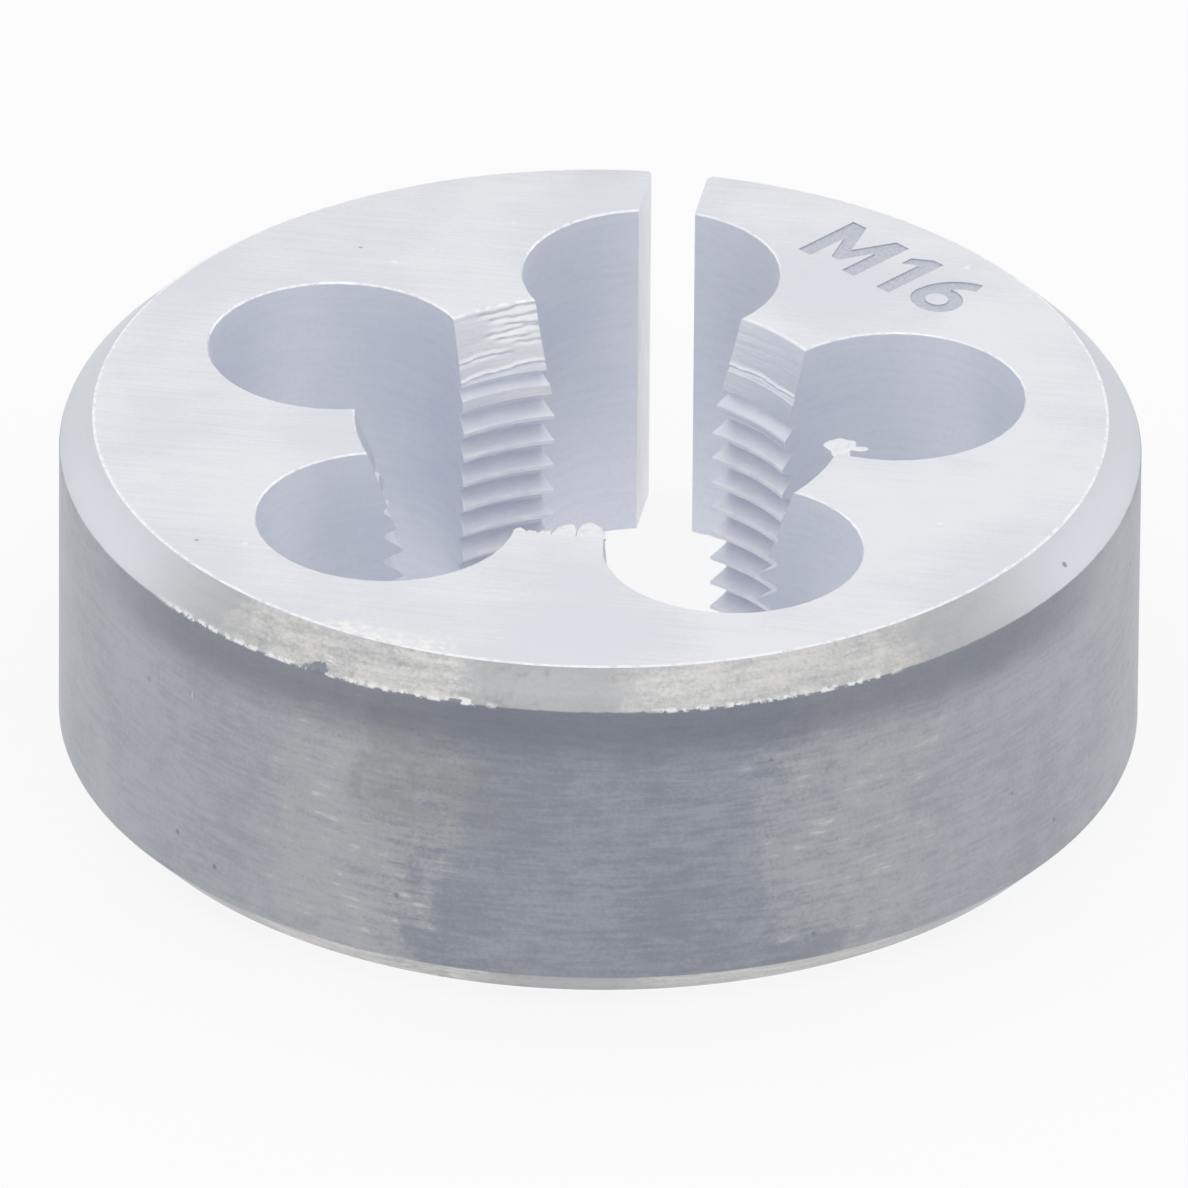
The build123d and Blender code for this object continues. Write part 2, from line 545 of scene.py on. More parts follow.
class Shell:
    """Collects grids and polygons, then makes one mesh of them."""

    def __init__(self):
        self.points, self.faces, self.slots, self.total = [], [], [], 0

    def add_points(self, points):
        """Keep points and return the index of the first."""
        first = self.total
        self.points.append(np.asarray(points, float).reshape(-1, 3))
        self.total += len(self.points[-1])
        return first

    def add_grid(self, grid, finish, keep=None, inward=False, closed=False):
        """Quads between neighbouring points. keep marks the cells that are wanted."""
        first = self.add_points(grid)
        index = first + np.arange(grid.shape[0] * grid.shape[1]).reshape(grid.shape[:2])
        if closed:
            index = np.concatenate([index, index[:, :1]], axis=1)
        quads = np.stack([index[:-1, :-1], index[:-1, 1:], index[1:, 1:], index[1:, :-1]], axis=-1)
        if inward:
            quads = quads[..., ::-1]
        keep = np.ones(quads.shape[:2], bool) if keep is None else keep
        self.faces += quads[keep].tolist()
        self.slots += np.broadcast_to(finish, quads.shape[:2])[keep].tolist()

    def add_faces(self, points, faces, finish):
        """Faces whose corners are numbers of their own points."""
        first = self.add_points(points)
        self.faces += [[first + corner for corner in face] for face in faces]
        self.slots += [finish] * len(faces)

    def add_polygon(self, points, finish):
        """One flat face through all the points."""
        self.add_faces(points, [list(range(len(points)))], finish)

    def make(self, name):
        """The mesh, with points that lie on each other joined and every face turned outwards."""
        mesh = bpy.data.meshes.new(name)
        mesh.from_pydata(np.concatenate(self.points).tolist(), [], self.faces)
        mesh.polygons.foreach_set("material_index", self.slots)
        shape = bmesh.new()
        shape.from_mesh(mesh)
        bmesh.ops.remove_doubles(shape, verts=shape.verts, dist=WELD)
        bmesh.ops.recalc_face_normals(shape, faces=shape.faces)
        open_edges = sum(not edge.is_manifold for edge in shape.edges)
        volume = shape.calc_volume(signed=True) / MM**3
        triangles = sum(len(face.verts) - 2 for face in shape.faces)
        print(f"{name}: {triangles} triangles, {open_edges} open edges, {volume:.1f} mm3")
        shape.to_mesh(mesh)
        shape.free()
        return mesh


# %% [markdown]
# A face with sunk letters is an outline with holes. Triangle fill takes such outlines as
# they are, where a boolean would have to cut each letter.

# %% Outlines of the flat faces
LEAD_DEPTH = 1.75 * MM
CONE_SLACK = 0.0005 * MM


def wall_finish(grid, on_land):
    """Finish of each wall cell: the edge breaks, the drilled holes, and on the lands the
    lead cone where the wall lies on it or above LEAD_DEPTH, or else the tap."""
    z = grid[..., 2]
    radius = np.hypot(grid[..., 0], grid[..., 1]) - edge_flare(z)
    on_cone = (radius <= lead_radius(z) + CONE_SLACK) | (z > THICKNESS - LEAD_DEPTH)
    cell_cone = on_cone[:-1, :-1] & on_cone[1:, 1:]
    cell_land = on_land[:-1] & on_land[1:]
    finish = np.where(cell_land, np.where(cell_cone, LEAD, TAPPED), DRILLED)
    finish[0] = finish[-1] = EDGE
    return finish


def throat(side, z):
    """Corner where the slit opens into the vee, on one side, at height z."""
    return [SLIT_SHIFT - side * SLIT_WIDTH / 2, NOTCH_THROAT, z]


def face_outline(row):
    """The C-shaped outline of a face: round the rim and back along the bore."""
    z = wall_grid[row, 0, 2]
    return np.concatenate([rim_grid[row], [throat(-1, z)], wall_grid[row, ::-1], [throat(1, z)]])


def slit_outlines(side):
    """The slit's flat wall and the vee's flat wall on one side."""
    column = 0 if side == 1 else -1
    inner, outer = wall_grid[:, column], rim_grid[:, column]
    ends = [throat(side, 0), throat(side, THICKNESS)]
    return np.concatenate([ends, inner[::-1]]), np.concatenate([ends[:1], outer, ends[1:]])


def fill_outlines(outlines):
    """Triangles between closed outlines on one level, where an outline inside another is a
    hole. Returns points and faces."""
    shape = bmesh.new()
    edges = []
    for outline in outlines:
        ring = [shape.verts.new(point) for point in outline]
        edges += [shape.edges.new(pair) for pair in zip(ring, ring[1:] + ring[:1])]
    bmesh.ops.triangle_fill(shape, use_beauty=True, edges=edges, normal=(0, 0, 1))
    shape.verts.index_update()
    points = np.array([vert.co for vert in shape.verts])
    faces = [[vert.index for vert in face.verts] for face in shape.faces]
    shape.free()
    return points, faces


# %% [markdown]
# Now the parts of the skin are put together. The window of each seat is left out of the rim
# and its pit is set in, and the letters are holes in the top face, floors below it and thin
# walls between the two.

# %% Assemble the shell
shell = Shell()
shell.add_grid(wall_grid, wall_finish(wall_grid, wall_on_land), inward=True)
rim_finish = np.full((rim_grid.shape[0] - 1, rim_grid.shape[1] - 1), TURNED)
rim_finish[[0, -1]] = EDGE
rim_cells = np.ones(rim_finish.shape, bool)
for seat_column in seat_columns:
    rim_cells[SEAT_ROW : SEAT_ROW + SEAT_CELLS, seat_column : seat_column + SEAT_CELLS] = False
shell.add_grid(rim_grid, rim_finish, keep=rim_cells)
for patch in seat_patches:
    shell.add_grid(patch, TURNED, closed=True)
for wall_side in (1, -1):
    for outline in slit_outlines(wall_side):
        shell.add_polygon(outline, SLIT)
shell.add_polygon(face_outline(0), GROUND)
sunk = np.array([0, 0, -MARK_DEPTH])
shell.add_faces(*fill_outlines([face_outline(-1)] + mark), GROUND)
shell.add_faces(*fill_outlines([outline + sunk for outline in mark]), ETCHED)
for outline in mark:
    shell.add_grid(np.stack([outline, outline + sunk]), ETCHED, closed=True)
die_mesh = shell.make("die_body")

# %% [markdown]
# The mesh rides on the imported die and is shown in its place. Smooth shading hides the
# facets of round walls, and an angle limit keeps real edges sharp, with no bevel modifier.

# %% The die as an object
DIE_SHARP = 30
BURR_SHARP = 60


def add_piece(name, mesh, sharp_degrees):
    """Link a piece that rides on the die. It is shaded smooth across bends gentler than
    sharp_degrees."""
    mesh.polygons.foreach_set("use_smooth", [True] * len(mesh.polygons))
    mesh.set_sharp_from_angle(angle=math.radians(sharp_degrees))
    piece = bpy.data.objects.new(name, mesh)
    bpy.context.collection.objects.link(piece)
    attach(piece, "root")
    return piece


die = add_piece("die_body", die_mesh, DIE_SHARP)
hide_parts("threading_die")

# %% [markdown]
# ## Burrs
# Two lands in front kept metal that the lead cutter pushed over the edge: a small curl on a
# corner, and a row of thin flakes along a land's tip. Both hang just under the face. They
# could be sculpted, but bent lenses and shelves with seeded outlines are repeatable.

# %% A curl on a corner
CURL_CORNER = math.radians(352.6)
CURL_TURN = math.radians(9.6)
CURL_LEVEL = THICKNESS - 0.09 * MM
CURL = [
    # place along the edge and out over the hole, length, width, thickness and droop, for
    # the curl's cap, its tail, and the stem on the corner
    (0.14, 0.70, 1.12, 1.14, 0.16, 0.10),
    (0.80, 0.42, 0.72, 0.40, 0.12, 0.06),
    (0.16, 0.12, 0.72, 1.00, 0.15, 0.00),
]
LENS_SIDES, LENS_RINGS, LENS_BUMPS = 48, 15, 12
LENS_BLUNT = 0.4
LENS_LEAST, LENS_RAGGED = 0.86, 0.26


def smooth_line(heights, count):
    """The heights, joined by half cosine waves, at count even steps."""
    heights = np.asarray(heights)
    where = np.linspace(0, len(heights) - 1 - 1e-6, count)
    first = where.astype(int)
    ease = (1 - np.cos(math.pi * (where - first))) / 2
    return heights[first] * (1 - ease) + heights[first + 1] * ease


def lens(right, out, length, width, thick, droop, seed):
    """A closed, bent lens: rings shrink to a pole above and below, the outline is ragged by
    a quarter, and the far side droops by the square of its distance. As a complex number,
    u + iv is turned when it is multiplied by e^(i turn)."""
    around = np.linspace(0, 2 * math.pi, LENS_SIDES, endpoint=False)
    bumps = np.random.default_rng(seed).random(LENS_BUMPS)
    rim = LENS_LEAST + LENS_RAGGED * smooth_line([*bumps, bumps[0]], LENS_SIDES + 1)[:-1]
    lift = np.linspace(-math.pi / 2, math.pi / 2, LENS_RINGS)[:, None]
    full = np.cos(lift) ** LENS_BLUNT * rim
    u, v = length / 2 * full * np.cos(around), width / 2 * full * np.sin(around)
    w = thick / 2 * np.sin(lift) - droop * (v / width + 0.5) ** 2
    turned = (right + u + 1j * (out + v)) * np.exp(1j * CURL_TURN) * MM
    turned += FRONT_MOUTH * np.exp(1j * CURL_CORNER)
    return np.stack([turned.real, turned.imag, CURL_LEVEL + w * MM], axis=-1)


# %% A row of torn flakes
FLAKES = [
    # first and last degree, and how far the free edge stands out at even steps between
    (259.6, 262.2, (0.12, 0.28, 0.22, 0.08)),
    (262.5, 265.0, (0.08, 0.20, 0.14, 0.20, 0.06)),
    (265.3, 268.3, (0.10, 0.34, 0.28, 0.40, 0.16)),
    (268.5, 274.0, (0.30, 0.70, 0.86, 0.93, 0.98, 0.92, 0.60)),
    (274.3, 281.0, (0.70, 1.08, 1.18, 1.16, 1.06, 0.84, 0.45)),
]
FLAKE_COLUMNS, FLAKE_LUMPS = 40, 10
FLAKE_LEVEL, FLAKE_THICK = THICKNESS - 0.11 * MM, 0.10 * MM
FLAKE_DROOP, LUMP_HEIGHT = 0.05 * MM, 0.03 * MM
FLAKE_OUT = np.array([-0.3, 0, 0.3, 0.6, 0.85, 0.97, 1.0, 0.97, 0.85, 0.6, 0.3, 0, -0.3])
FLAKE_UP = np.array([1, 1, 1, 1, 0.95, 0.85, 0.5, 0.15, 0, 0, 0, 0, 0])


def flake(start, stop, reach, seed):
    """A torn shelf under the face: its root follows the land's mouth and its free edge is a
    smooth line. Each ring goes out over the top, round the free edge and back below."""
    angles = np.linspace(math.radians(start), math.radians(stop), FLAKE_COLUMNS)[:, None]
    out = smooth_line(reach, FLAKE_COLUMNS)[:, None] * MM
    bumps = np.random.default_rng(seed).random(FLAKE_LUMPS)
    lump = smooth_line(bumps, FLAKE_COLUMNS)[:, None] * LUMP_HEIGHT
    droop = (FLAKE_DROOP + lump) * np.clip(FLAKE_OUT, 0, 1) ** 2
    z = FLAKE_LEVEL + FLAKE_THICK * FLAKE_UP - droop
    return polar(FRONT_MOUTH - FLAKE_OUT * out, angles, z)


# %% Both burrs as pieces
def add_burr(name, tubes):
    """A piece from several tubes, each a grid of closed rings whose two ends are capped."""
    shell = Shell()
    for tube in tubes:
        shell.add_grid(tube, 0, closed=True)
        shell.add_polygon(tube[0], 0)
        shell.add_polygon(tube[-1], 0)
    return add_piece(name, shell.make(name), BURR_SHARP)


curl = add_burr("burr_curl", [lens(*shape, seed + 1) for seed, shape in enumerate(CURL)])
flakes = add_burr("burr_flakes", [flake(*shape, seed) for seed, shape in enumerate(FLAKES)])

# %% [markdown]
# ## Shader maths
# Each tool's finish is a material of its own. Painted images could show the wear, but
# patterns in space need no unwrapping and stay sharp. They are in millimetres from the
# middle of the back face. A small class lets a node's output take part in ordinary sums.

# %% Wires
class Wire:
    """A node's output. Sums and products of wires and numbers add Math nodes."""

    def __init__(self, nodes, socket):
        self.nodes, self.socket = nodes, socket

    def math(self, operation, *values):
        """Add a Math node on wires or numbers."""
        return self.nodes.node("ShaderNodeMath", {"operation": operation}, dict(enumerate(values)))

    def other(self, output):
        """Another output of the same node."""
        return Wire(self.nodes, self.socket.node.outputs[output])

    def __add__(self, value):
        return self.math("ADD", self, value)

    def __sub__(self, value):
        return self.math("SUBTRACT", self, value)

    def __rsub__(self, value):
        return self.math("SUBTRACT", value, self)

    def __mul__(self, value):
        return self.math("MULTIPLY", self, value)

    __radd__, __rmul__ = __add__, __mul__

    def most(self, value):
        """The larger of this wire and a value."""
        return self.math("MAXIMUM", self, value)


# %% [markdown]
# A material and the world are both trees of nodes. Every node is made by one method, with
# its settings first, because a setting such as a blend's type changes which inputs it has.

# %% Nodes
class Nodes:
    """A node tree that nodes are added to."""

    def __init__(self, tree):
        self.tree = tree

    def node(self, kind, settings=None, inputs=None, output=0):
        """Add a node: its settings first, then each input's value or wire."""
        made = self.tree.nodes.new(kind)
        for name, value in (settings or {}).items():
            setattr(made, name, value)
        for name, value in (inputs or {}).items():
            if isinstance(value, Wire):
                self.link(value, made.inputs[name])
            else:
                made.inputs[name].default_value = value
        return Wire(self, made.outputs[output])

    def vector(self, operation, *values, **named):
        """Add a Vector Math node on wires or vectors."""
        inputs = {**dict(enumerate(values)), **named}
        return self.node("ShaderNodeVectorMath", {"operation": operation}, inputs)

    def link(self, wire, socket):
        """Join a wire to a node's input."""
        self.tree.links.new(wire.socket, socket)

    def seen_rays(self):
        """1 for rays from the camera and for those that metal or glass passes on."""
        kinds = ("Is Camera Ray", "Is Glossy Ray", "Is Transmission Ray")
        paths = [self.node("ShaderNodeLightPath", output=kind) for kind in kinds]
        return paths[0].most(paths[1]).most(paths[2])


# %% [markdown]
# A finish starts from places in millimetres on the die. From them come the height, the
# distance from the axis and the side of the die, and from those the masks that wear follows.

# %% Finishes
SEED_SHIFT = (7.3, 3.1, 5.7)


class Finish(Nodes):
    """A metal finish: one material, and the patterns that its recipe is made of."""

    def __init__(self, name, metal=1.0):
        self.material = bpy.data.materials.new(name)
        self.material.use_nodes = True
        super().__init__(self.material.node_tree)
        self.shader = self.tree.nodes["Principled BSDF"]
        self.shader.inputs["Metallic"].default_value = metal
        metres = self.node("ShaderNodeTexCoord", output="Object")
        self.place = self.vector("SCALE", metres, Scale=1 / MM)
        self.z = self.node("ShaderNodeSeparateXYZ", {}, {"Vector": self.place}, "Z")
        flat = self.vector("MULTIPLY", self.place, (1, 1, 0))
        self.radius = self.vector("LENGTH", flat).other("Value")
        self.outward = self.vector("NORMALIZE", flat)

    def ramp(self, value, start, stop):
        """0 at start and 1 at stop, with a soft step between. start may be the larger."""
        inputs = {"Value": value, "From Min": start, "From Max": stop}
        return self.node("ShaderNodeMapRange", {"interpolation_type": "SMOOTHSTEP"}, inputs)

    def moved(self, place, by, seed):
        """Places stretched by a factor on each axis, and shifted so that each seed differs."""
        return self.vector("MULTIPLY_ADD", place, by, tuple(seed * shift for shift in SEED_SHIFT))

    def noise(self, scale, by=(1, 1, 1), detail=2.0, rough=0.5, seed=0.0, of=None):
        """Soft noise about 0.5, with scale features to a millimetre, times by on each axis."""
        place = self.moved(of or self.place, by, seed)
        inputs = {"Vector": place, "Scale": scale, "Detail": detail, "Roughness": rough}
        return self.node("ShaderNodeTexNoise", {}, inputs)

    def specks(self, scale, size, share, seed=0.0, by=(1, 1, 1)):
        """Specks: one in each cell of a Voronoi pattern, kept in a share of the cells. They
        are round, or short lines where by squeezes the pattern more on one axis."""
        inputs = {"Vector": self.moved(self.place, by, seed), "Scale": scale}
        near = self.node("ShaderNodeTexVoronoi", {}, inputs)
        chance = self.node("ShaderNodeSeparateColor", {}, {"Color": near.other("Color")})
        kept = self.ramp(chance, share, share - 0.02)
        return self.ramp(near, size * scale, size * scale * 0.4) * kept

    def facing(self, degrees, width, blur=0.0):
        """1 on the side of the die at this angle, fading out at width degrees. blur is a wire
        or a number that shifts the fade."""
        angle = math.radians(degrees)
        side = (math.cos(angle), math.sin(angle), 0)
        dot = self.vector("DOT_PRODUCT", self.outward, side).other("Value")
        edge = math.cos(math.radians(width))
        return self.ramp(dot + blur, edge, 0.6 + 0.4 * edge)

    def sides(self, places, blur=0.0):
        """The most of several facings, each given as degrees, width and strength."""
        return reduce(Wire.most, [self.facing(*place, blur) * level for *place, level in places])

    def near(self, degrees, level, reach, blur):
        """1 at a point of the rim and 0 past reach, in millimetres, twice as wide as it is
        high. blur is a wire that shifts the edge."""
        angle = math.radians(degrees)
        point = (RADIUS / MM * math.cos(angle), RADIUS / MM * math.sin(angle), level)
        away = self.vector("MULTIPLY", self.vector("SUBTRACT", self.place, point), (1, 1, 2))
        return self.ramp(self.vector("LENGTH", away).other("Value") + blur, reach, reach * 0.8)

    def mix(self, first, second, factor):
        """Blend two colours, each a wire or three numbers."""
        colours = [c if isinstance(c, Wire) else (*c, 1.0) for c in (first, second)]
        inputs = {"Factor": factor, 6: colours[0], 7: colours[1]}
        return self.node("ShaderNodeMix", {"data_type": "RGBA"}, inputs, 2)

    def finish(self, colour, roughness, height, depth):
        """Link the colour, the roughness and a bump whose height is depth millimetres."""
        inputs = {"Strength": 1.0, "Distance": depth * MM, "Height": height}
        bump = self.node("ShaderNodeBump", {}, inputs)
        for wire, name in ((colour, "Base Color"), (roughness, "Roughness"), (bump, "Normal")):
            self.link(wire, self.shader.inputs[name])
        print("finish", self.material.name, len(self.tree.nodes), "nodes")
        return self.material


# %% [markdown]
# ## The ground faces
# A surface grinder leaves both faces flat and pale, with fine straight lines, faint clouds,
# and a few specks and pits from handling. A warm stain has dried near the front edge. The
# lines could be bump alone, but polished steel shows them as changes in tone too.

# %% Ground face
GROUND_PALE = (0.805, 0.815, 0.85)
GROUND_DULL = (0.725, 0.742, 0.79)
SPECK = (0.90, 0.90, 0.90)
# A dark grey for pits, also used for painted shade in the rim's chips.
PIT_AND_SHADE = (0.24, 0.26, 0.30)
STAIN = (0.93, 0.905, 0.85)
# A side of the die is an angle about its axis and a half width in degrees, here and below.
# In a list of sides each has a strength too.
STAIN_SIDE = (255, 9)
STAIN_RADIUS = (16.8, 17.4)


def ground_face():
    """Lines and clouds blend two greys, with specks, pits and the dried stain on top."""
    f = Finish("ground_face")
    clouds = f.noise(0.11, detail=3.0, rough=0.6)
    lines = f.noise(1.0, by=(0.25, 7.0, 0.25), rough=0.6)
    grain = f.noise(5.0, rough=0.6)
    worn = f.ramp(clouds + 0.25 * lines + 0.2 * grain, 0.60, 0.86)
    colour = f.mix(GROUND_PALE, GROUND_DULL, worn)
    colour = f.mix(colour, SPECK, f.specks(0.55, 0.16, 0.30, seed=2) * 0.8)
    colour = f.mix(colour, PIT_AND_SHADE, f.specks(0.5, 0.11, 0.22, seed=5) * 0.6)
    dried = f.facing(*STAIN_SIDE) * f.ramp(f.radius, *STAIN_RADIUS)
    dried = dried * f.ramp(f.noise(3.0, detail=3.0), 0.45, 0.60)
    colour = f.mix(colour, STAIN, dried * 0.8)
    return f.finish(colour, 0.36 + 0.12 * lines + 0.06 * clouds, lines + 0.3 * grain, 0.004)


# %% [markdown]
# ## The rim
# The rim is darker: it was turned, hardened and only polished lightly. Fine streaks run
# round it, because its noise is looked up on a small circle instead of the die's own. Both
# flanks are painted paler, a painted sheen for the light they reflect. Two patches in front
# are part old oil and part a painted reflection of a lamp, with painted glints in them. A
# dark band under the front chamfer is a painted shadow, and the chamfer's edge has bright
# knocks and two chips, each with painted shade in its pit.

# %% The rim between its chamfers
RIM_STEEL = (0.26, 0.28, 0.325)
RIM_LIGHT = (0.34, 0.362, 0.41)
# A painted shadow under the front chamfer.
RIM_SHADOW = (0.18, 0.195, 0.235)
# A painted sheen: the paler grey that both flanks are painted with, for the light they reflect.
RIM_SHEEN = (0.45, 0.465, 0.50)
# Old oil and a painted lamp reflection on two patches in front.
OIL_AND_REFLECTION = (0.48, 0.482, 0.49)
RIM_STAIN = (0.225, 0.228, 0.23)
SHEEN_SIDES = [(221, 42, 1), (339, 42, 1)]
OIL_REFLECTION_SIDES = [(254, 12, 1), (308, 11, 0.8)]
STAINED_SIDE = (265, 11)
SHADOW_BAND_SIDE = (280, 75)
# The top and the foot of the rim between its chamfers, in millimetres.
TOP = (THICKNESS - RIM_CHAMFER) / MM
FOOT = RIM_CHAMFER / MM


def rim_side(f):
    """(colour, oil and painted reflection) of the rim between its chamfers."""
    tone = 0.30 * f.clouds + 0.35 * f.streaks + 0.15 * f.mottle + 0.20 * f.grain
    tone = f.ramp(tone, 0.40, 0.60)
    colour = f.mix(RIM_STEEL, RIM_LIGHT, tone)
    # Painted sheen: both flanks are painted paler, standing in for the light they reflect.
    colour = f.mix(colour, RIM_SHEEN, f.sides(SHEEN_SIDES, f.shift) * (0.45 + 0.35 * tone))
    # Two patches in front are part old oil and part a painted reflection of a lamp, and the
    # streaked white smears on them are painted glints.
    reflection_patches = f.sides(OIL_REFLECTION_SIDES, f.shift)
    oil_and_reflection = reflection_patches * f.ramp(0.45 * f.streaks + 0.25 * f.mottle + 0.3 * f.grain, 0.36, 0.60)
    colour = f.mix(colour, OIL_AND_REFLECTION, oil_and_reflection * 0.6)
    smears_and_glints = reflection_patches * f.ramp(f.streaks, 0.56, 0.66) * f.ramp(f.mottle, 0.50, 0.62)
    colour = f.mix(colour, SPECK, smears_and_glints * 0.28)
    stain = f.facing(*STAINED_SIDE, f.shift) * f.ramp(f.z, 5.0, 8.0)
    stain = stain * f.ramp(0.6 * f.mottle + 0.4 * f.clouds, 0.38, 0.66)
    colour = f.mix(colour, RIM_STAIN, stain * 0.5)
    # Painted shadow: a dark band on the front of the rim, just under the chamfer.
    painted_shadow = f.ramp(f.z, TOP - 2.6, TOP - 0.8) * f.facing(*SHADOW_BAND_SIDE)
    return f.mix(colour, RIM_SHADOW, painted_shadow * 0.65), oil_and_reflection


# %% The chamfers, and the knocks on their corner
CHAMFER_STEEL = (0.60, 0.625, 0.68)
CHAMFER_WARM = (0.42, 0.425, 0.44)
# Worn steel, also used as a painted highlight on each side of the front.
CHAMFER_WORN_AND_HIGHLIGHT = (0.73, 0.72, 0.695)
WARM_SIDE = (279, 62)
WORN_HIGHLIGHT_SIDES = [(254, 17, 1), (300, 20, 0.8)]
DARK_SIDE = (268, 24)
FLECKED_SIDES = [(241, 17, 1), (261, 9, 1), (299, 16, 1)]
# Two chips, each with a bright lip and a dark pit of painted shade: angle in degrees, height and
# reach.
LIPS = [(249.4, 12.00, 0.85), (264.9, 11.88, 0.50)]
CHIP_SHADES = [(248.3, 11.90, 0.55), (264.3, 11.82, 0.34)]


def chamfer_slope(f):
    """Colour of the chamfers: warm and worn in front, with a painted highlight on each side
    of the front, and plain steel elsewhere.
    """
    colour = f.mix(CHAMFER_STEEL, CHAMFER_WARM, f.facing(*WARM_SIDE, 0.5 * f.shift))
    rubbed = f.ramp(0.5 * f.streaks + 0.2 * f.mottle + 0.3 * f.grain, 0.30, 0.66)
    # Wear everywhere, made much brighter on two sides of the front by a painted highlight.
    colour = f.mix(colour, CHAMFER_WORN_AND_HIGHLIGHT, (0.2 + 0.8 * f.sides(WORN_HIGHLIGHT_SIDES, f.shift)) * rubbed)
    stain = f.facing(*DARK_SIDE) * f.ramp(f.mottle, 0.52, 0.72)
    return f.mix(colour, RIM_STAIN, stain * 0.45)


def knocked(f, colour):
    """(colour, flecks): bright flecks along the front corner, stray nicks, and the chips
    with painted shade in their pits.
    """
    edge = f.ramp(f.z, TOP - 0.08, TOP - 0.01) * f.ramp(f.z, TOP + 0.17, TOP + 0.02)
    flecks = edge * f.ramp(f.noise(3.0, detail=3.0, rough=0.7, seed=4), 0.45, 0.56)
    flecks = flecks * f.sides(FLECKED_SIDES)
    colour = f.mix(colour, SPECK, flecks * 0.85)
    colour = f.mix(colour, SPECK, f.specks(0.5, 0.10, 0.30, seed=9, by=(3, 3, 0.5)) * 0.55)
    torn = 1.6 * f.noise(1.6, detail=3.0, rough=0.65, seed=6) - 0.75
    lips = f.near(*LIPS[0], torn).most(f.near(*LIPS[1], torn)) * f.ramp(f.streaks, 0.42, 0.56)
    colour = f.mix(colour, SPECK, lips * f.ramp(f.z, TOP - 0.05, TOP + 0.05) * 0.7)
    # Painted shade in the pits of the two chips, with random dark specks of real pits.
    pits_and_shade = f.near(*CHIP_SHADES[0], 0.8 * torn).most(f.near(*CHIP_SHADES[1], 0.5 * torn))
    pits_and_shade = pits_and_shade.most(f.specks(0.7, 0.15, 0.20, seed=7))
    return f.mix(colour, PIT_AND_SHADE, pits_and_shade * 0.9), flecks


# %% Turned rim
def turned_rim():
    """The rim's side, the chamfers over it and the knocks over both. The patterns that they
    share are kept on the finish."""
    f = Finish("turned_rim")
    height = f.node("ShaderNodeCombineXYZ", {}, {"Z": f.z})
    wrapped = f.vector("MULTIPLY_ADD", f.outward, (2.2, 2.2, 0.0), height)
    f.streaks = f.noise(4.5, detail=3.0, rough=0.65, of=wrapped)
    f.clouds = f.noise(0.22, detail=3.0, rough=0.6, seed=1)
    f.mottle = f.noise(1.3, detail=4.0, rough=0.6, seed=3)
    f.grain = f.noise(7.0, rough=0.6, seed=5)
    f.shift = 0.03 * f.mottle + 0.08 * f.clouds - 0.055
    colour, oil_and_reflection = rim_side(f)
    chamfers = f.ramp(f.z, TOP - 0.02, TOP + 0.04).most(f.ramp(f.z, FOOT, FOOT - 0.05))
    colour = f.mix(colour, chamfer_slope(f), chamfers)
    colour, flecks = knocked(f, colour)
    roughness = 0.34 + 0.14 * f.streaks + 0.10 * oil_and_reflection - 0.06 * flecks
    return f.finish(colour, roughness, f.streaks + 0.6 * f.mottle, 0.010)


# %% [markdown]
# ## Inside the die
# The drilled holes are left as the furnace coloured them, a flat blue grey. The tap leaves
# the same steel with paler crests, and the lead cones were ground after hardening, so they
# are nearly as pale as the face. Furnace scale is part mirror and part paint, and a
# Metallic value between 0 and 1 stands for both.

# %% Drilled hole
HOLE_METAL = 0.6
HOLE_BLUE = (0.855, 0.875, 0.935)
HOLE_SHADE = (0.805, 0.832, 0.905)


def drilled_hole():
    """Feed rings of the drill and clouds blend two blues, with specks and nicks on top."""
    f = Finish("drilled_hole", HOLE_METAL)
    feed = f.noise(1.0, by=(0.5, 0.5, 5.0))
    clouds = f.noise(0.25)
    grain = f.noise(6.0, rough=0.6, seed=1)
    tone = f.ramp(0.4 * clouds + 0.3 * feed + 0.3 * grain, 0.38, 0.62)
    colour = f.mix(HOLE_BLUE, HOLE_SHADE, tone)
    nicks = f.specks(0.45, 0.10, 0.30, seed=6, by=(3, 3, 0.6))
    colour = f.mix(colour, SPECK, f.specks(0.9, 0.08, 0.20, seed=3).most(nicks) * 0.7)
    return f.finish(colour, 0.46 + 0.1 * feed, feed + 0.3 * grain, 0.006)


# %% Tapped land
LAND_METAL = 0.4
THREAD_PALE = (0.94, 0.945, 0.965)
# Where the tooth crests and the first turn under the lead fade in, in millimetres.
CREST_FADE = (7.60, 7.46)
FIRST_TURN_LEVEL = (10.2, 11.0)
FIRST_TURN_RADIUS = (7.9, 7.6)


def tapped_land():
    """The holes' blues, paler on the crests and on the first turn where they are torn."""
    f = Finish("tapped_land", LAND_METAL)
    grain = f.noise(1.0, by=(1.2, 1.2, 6.0), detail=3.0, rough=0.6)
    torn = f.noise(1.3, detail=3.0, rough=0.6, seed=2)
    crest = f.ramp(f.radius, *CREST_FADE) * f.ramp(torn, 0.42, 0.60)
    first = f.ramp(f.z, *FIRST_TURN_LEVEL) * f.ramp(f.radius, *FIRST_TURN_RADIUS)
    first = first * f.ramp(torn, 0.30, 0.50)
    colour = f.mix(HOLE_BLUE, HOLE_SHADE, f.ramp(grain, 0.35, 0.65))
    colour = f.mix(colour, THREAD_PALE, (0.6 * crest).most(first))
    colour = f.mix(colour, SPECK, f.specks(1.6, 0.08, 0.30, by=(1, 1, 2)) * 0.7)
    return f.finish(colour, 0.44 + 0.12 * grain, grain + torn, 0.008)


# %% Lead cone
LEAD_PALE = (0.83, 0.84, 0.865)
LEAD_DULL = (0.73, 0.76, 0.83)
DULL_LEAD = (54, 20)
TORN_LEAD = (126, 18)


